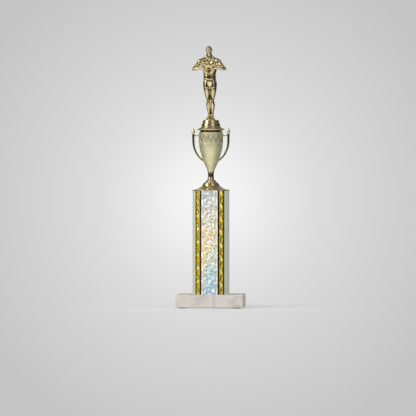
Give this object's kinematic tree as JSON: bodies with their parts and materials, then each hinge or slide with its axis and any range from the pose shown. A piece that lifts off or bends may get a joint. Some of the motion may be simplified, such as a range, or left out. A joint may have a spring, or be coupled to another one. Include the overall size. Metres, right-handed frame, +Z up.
{
  "type": "figure trophy",
  "caption": "Award trophy: stone foot, film-wrapped round column with a foil panel, two-handled cup, and a standing figure holding a wreath on a stepped riser.",
  "frame": {"origin": "on the surface the felt pads stand on, on the tie rod's axis, at the centre of the foot", "axes": "+Z up along the tie rod; the foil panel and the figure's face look along -Y; +X to the right of someone facing the front"},
  "size_m": [0.0984, 0.0636, 0.3864],
  "materials": {
    "felt": "dark green wool felt",
    "marble": "honed off-white marble with soft grey veins",
    "zinc_steel": "bright zinc plate",
    "paperboard": "spiral-wound grey-brown board",
    "silver_film": "metallized pale champagne-silver film",
    "prism_silver_foil": "silver prism foil with a pressed crescent and dot pattern",
    "prism_gold_foil": "gold prism foil",
    "black_tape": "gloss black tape",
    "bright_gold_plastic": "mirror-bright vacuum-metallized gold",
    "satin_gold_plastic": "satin vacuum-metallized pale gold"
  },
  "bodies": {
    "trophy_stack": {"felt_pads": "felt", "marble_base": "marble", "base_nut": "zinc_steel", "base_lock_washer": "zinc_steel", "base_washer": "zinc_steel", "tie_rod": "zinc_steel", "column_tube": "paperboard", "column_film": "silver_film", "foil_panel": "prism_silver_foil", "side_tape_left": "black_tape", "side_tape_right": "black_tape", "gold_strip_left": "prism_gold_foil", "gold_strip_right": "prism_gold_foil", "column_lid": "bright_gold_plastic", "cup_stem": "bright_gold_plastic", "cup_bowl": "satin_gold_plastic", "cup_handle_left": "bright_gold_plastic", "cup_handle_right": "bright_gold_plastic", "cup_cover": "bright_gold_plastic"},
    "figure_top": {"figure_riser": "bright_gold_plastic", "riser_nut": "zinc_steel", "figure": "bright_gold_plastic", "wreath": "bright_gold_plastic"}
  },
  "joints": [
    {"name": "figure_turn", "type": "hinge", "parent": "trophy_stack", "child": "figure_top", "pos_m": [0, 0, 0.265], "axis": [0, 0, 1], "range_deg": [-180, 180]}
  ]
}
